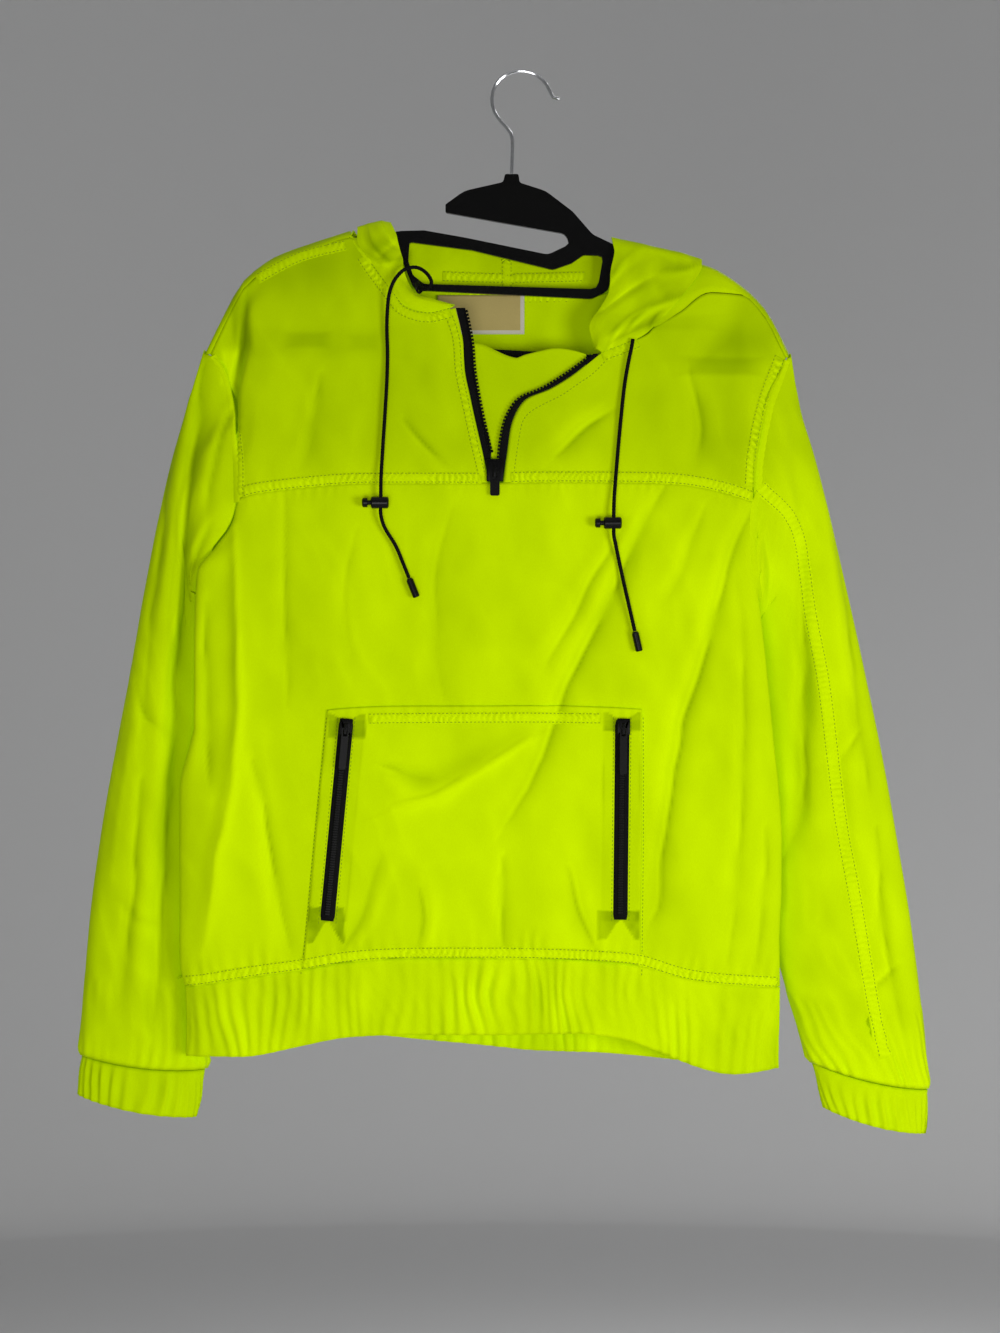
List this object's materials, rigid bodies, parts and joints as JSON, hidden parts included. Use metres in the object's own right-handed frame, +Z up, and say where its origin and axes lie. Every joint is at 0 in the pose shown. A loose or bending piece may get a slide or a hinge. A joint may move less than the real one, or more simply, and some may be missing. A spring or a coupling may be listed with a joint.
{
  "type": "anorak pullover on hanger",
  "caption": "Half-zip nylon anorak pullover with hood, kangaroo pocket, elastic hem and cuffs, hanging on a slim plastic hanger with a metal hook.",
  "frame": {"origin": "inner crown of the hanger's hook, where a rod or wall hook carries the whole part", "axes": "+Z up, +X towards the viewer's right when facing the garment's front, -Y out of the garment's front"},
  "size_m": [0.7269, 0.0695, 0.9043],
  "materials": {
    "cloth": "thin crinkled nylon with a faint sheen",
    "cloth_inside": "the same nylon in the shade of the neck",
    "zip": "woven zip tape with moulded teeth",
    "zip_metal": "black lacquered metal",
    "cord": "braided elastic cord",
    "plastic": "moulded black plastic",
    "hanger_plastic": "smooth black plastic",
    "label": "bare woven label",
    "hook": "polished wire"
  },
  "bodies": {
    "root": {"back_body": "cloth", "cord_end_left": "plastic", "cord_end_right": "plastic", "cord_lock_left": "plastic", "cord_lock_right": "plastic", "cuff_left": "cloth", "cuff_right": "cloth", "drawcord_left": "cord", "drawcord_right": "cord", "eyelet_left": "zip_metal", "front_body": "cloth", "front_yoke_left": "cloth", "front_yoke_right": "cloth", "hanger_body": "hanger_plastic", "hanger_hook": "hook", "hem_band_back": "cloth", "hem_band_front": "cloth", "hood_left": "cloth", "hood_right": "cloth", "neck_label": "label", "neck_slider": "zip_metal", "neck_zip_tape_left": "zip", "neck_zip_tape_right": "zip", "pocket_left_slider": "zip_metal", "pocket_panel": "cloth", "pocket_right_slider": "zip_metal", "pocket_zip_left": "zip", "pocket_zip_right": "zip", "sleeve_left": "cloth", "sleeve_right": "cloth", "zip_guard": "cloth_inside"},
    "neck_pull": {"neck_pull": "zip_metal"},
    "pocket_left_pull": {"pocket_left_pull": "zip_metal"},
    "pocket_right_pull": {"pocket_right_pull": "zip_metal"},
    "cord_plunger_left": {"cord_plunger_left": "plastic"},
    "cord_plunger_right": {"cord_plunger_right": "plastic"}
  },
  "joints": [
    {"name": "neck_pull_swing", "type": "hinge", "parent": "root", "child": "neck_pull", "pos_m": [-0.025, -0.0324, -0.341], "axis": [-1, 0, 0], "range_deg": [0, 120]},
    {"name": "pocket_left_pull_swing", "type": "hinge", "parent": "root", "child": "pocket_left_pull", "pos_m": [-0.1496, -0.03957, -0.556], "axis": [-0.9962, 0, 0.0872], "range_deg": [0, 120]},
    {"name": "pocket_right_pull_swing", "type": "hinge", "parent": "root", "child": "pocket_right_pull", "pos_m": [0.0825, -0.03954, -0.556], "axis": [-1, 0, 0.0087], "range_deg": [0, 120]},
    {"name": "cord_plunger_left_press", "type": "slide", "parent": "root", "child": "cord_plunger_left", "axis": [1, 0, 0], "range_m": [0, 0.0025], "stiffness_N_per_m": 400, "springref_m": -0.001},
    {"name": "cord_plunger_right_press", "type": "slide", "parent": "root", "child": "cord_plunger_right", "axis": [1, 0, 0], "range_m": [0, 0.0025], "stiffness_N_per_m": 400, "springref_m": -0.001}
  ]
}
